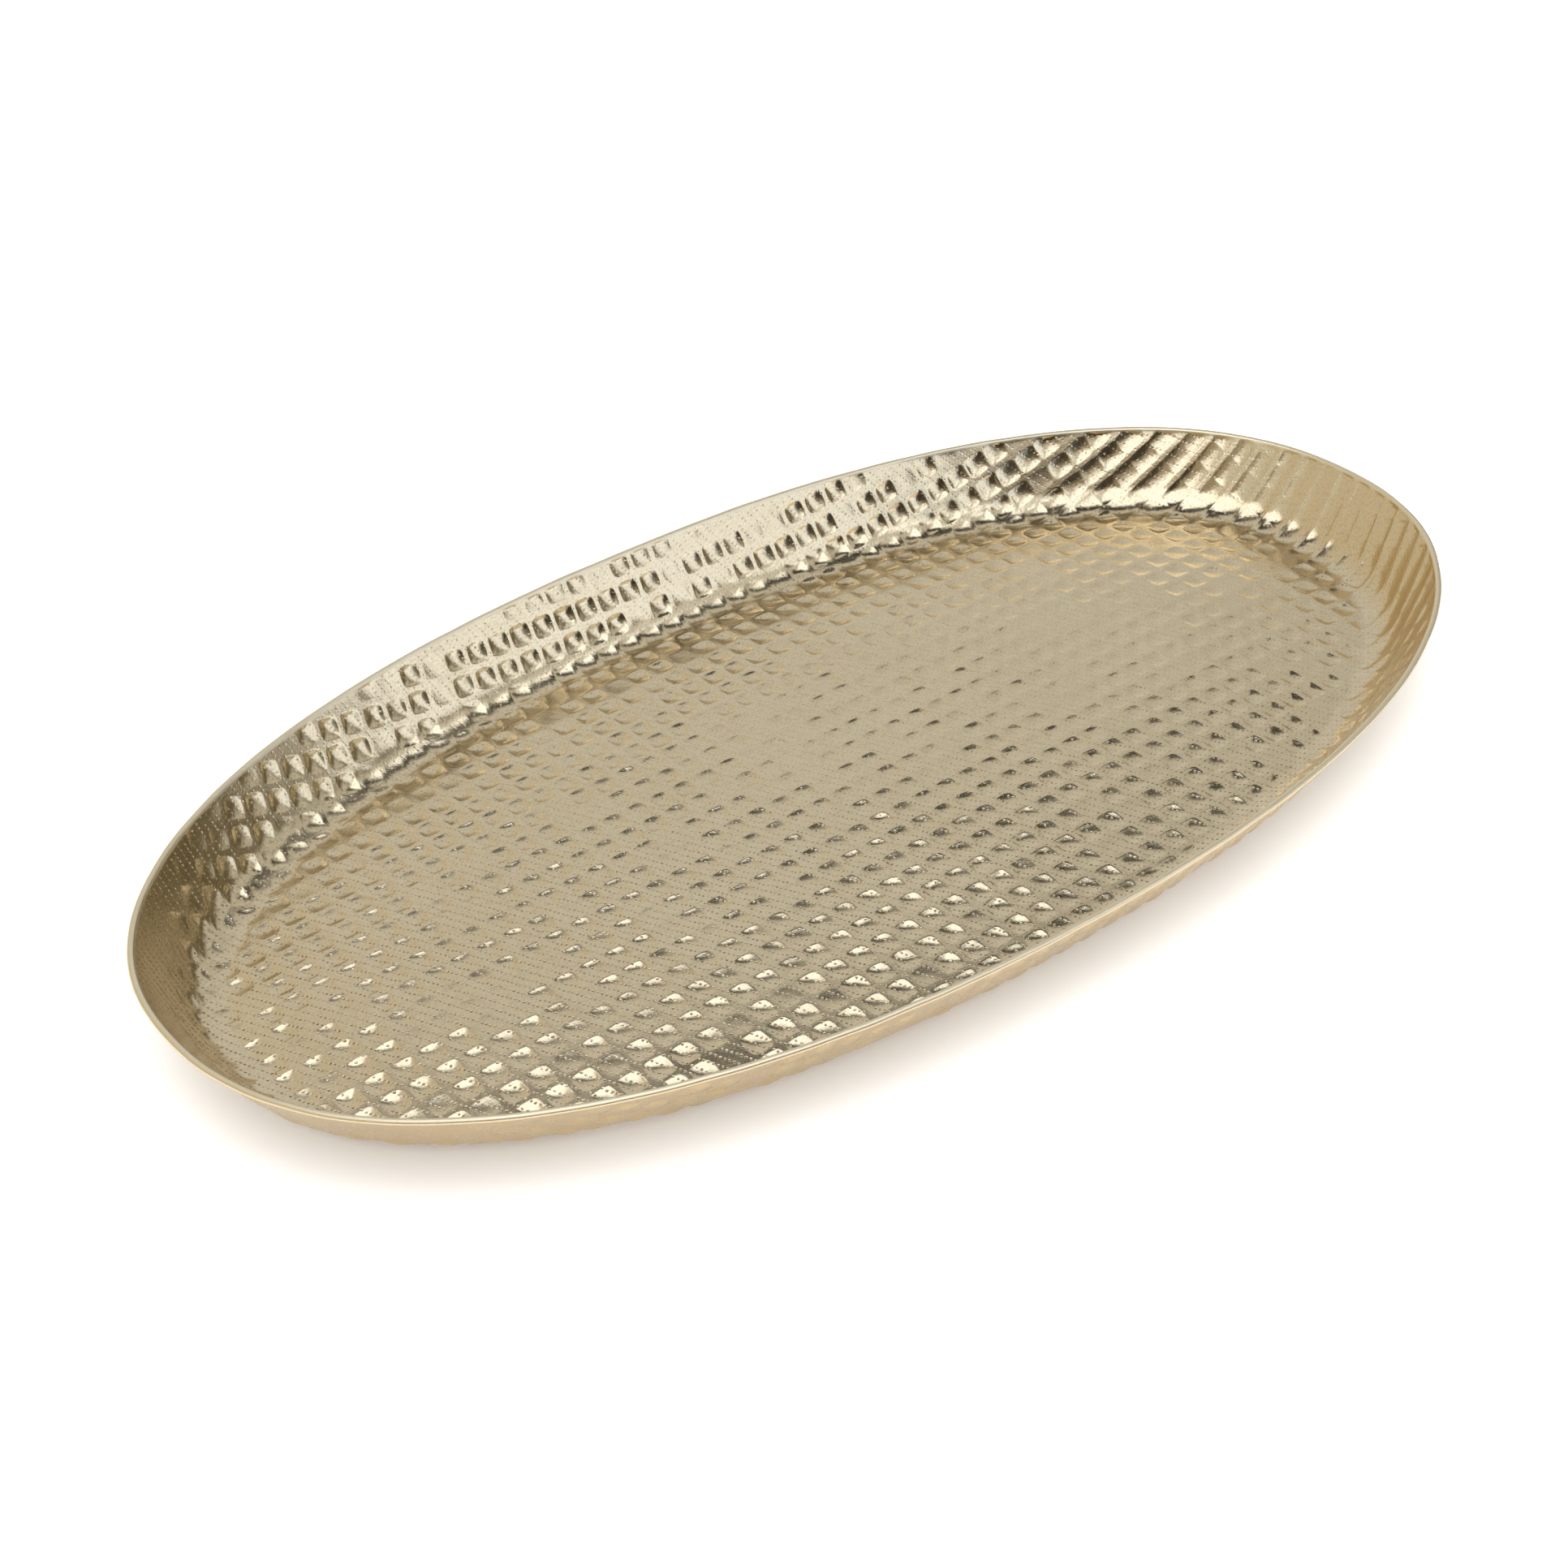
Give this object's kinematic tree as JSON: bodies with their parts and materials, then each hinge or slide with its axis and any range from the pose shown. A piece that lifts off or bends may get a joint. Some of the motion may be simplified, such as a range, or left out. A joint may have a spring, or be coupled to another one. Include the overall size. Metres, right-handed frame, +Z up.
{
  "type": "oval serving tray",
  "caption": "Oval serving tray pressed from one thin sheet of square-hammered pale gold brass, with a flared wall, a plain lip and soft bumper pads underneath.",
  "frame": {"origin": "on the table, under the middle of the tray", "axes": "+X along the tray's length, +Y across it, +Z up"},
  "size_m": [0.4, 0.2154, 0.0242],
  "materials": {
    "hammered_brass": "semi-polished pale champagne gold, hammered in a square grid",
    "pad_rubber": "matt moulded rubber"
  },
  "bodies": {
    "root": {"tray_pan": "hammered_brass", "bumper_pad_front_left": "pad_rubber", "bumper_pad_front_right": "pad_rubber", "bumper_pad_rear_left": "pad_rubber", "bumper_pad_rear_right": "pad_rubber"}
  },
  "joints": []
}
